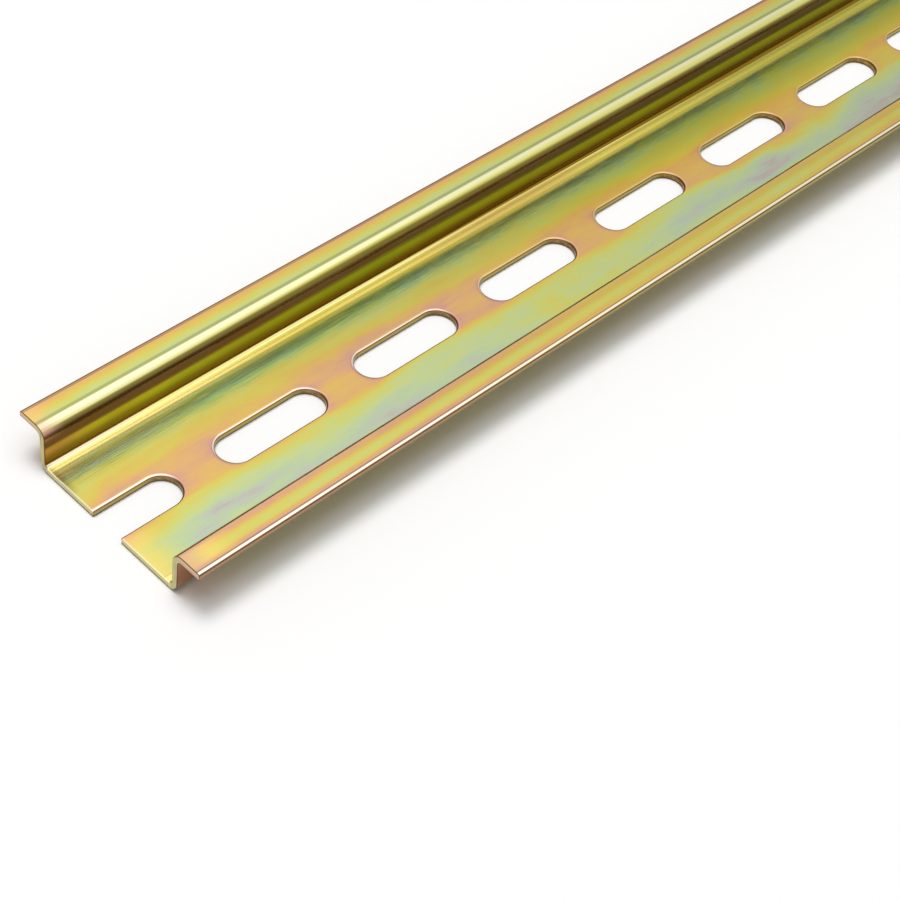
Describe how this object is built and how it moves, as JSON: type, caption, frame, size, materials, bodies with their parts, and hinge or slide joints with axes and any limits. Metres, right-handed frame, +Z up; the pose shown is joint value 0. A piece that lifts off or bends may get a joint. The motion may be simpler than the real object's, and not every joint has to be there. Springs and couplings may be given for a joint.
{
  "type": "din rail",
  "caption": "Slotted top-hat mounting rail in yellow-passivated, zinc-plated steel; it is screwed to a panel, and clip-on electrical devices clip over its lips.",
  "frame": {"origin": "middle of the rail's length and width, on the outer face of the slotted base", "axes": "+X along the rail's length, from the cut end with the deep open slot to the far end; +Y across the width to the lip at the back of the picture; +Z up from the base to the lips"},
  "size_m": [0.3, 0.035, 0.0075],
  "materials": {
    "passivated_zinc": "satin yellow chromate passivation over zinc, iridescent from gold to pink and pale green, fine rolling lines along the length"
  },
  "bodies": {
    "root": {"slotted_rail": "passivated_zinc"}
  },
  "joints": []
}
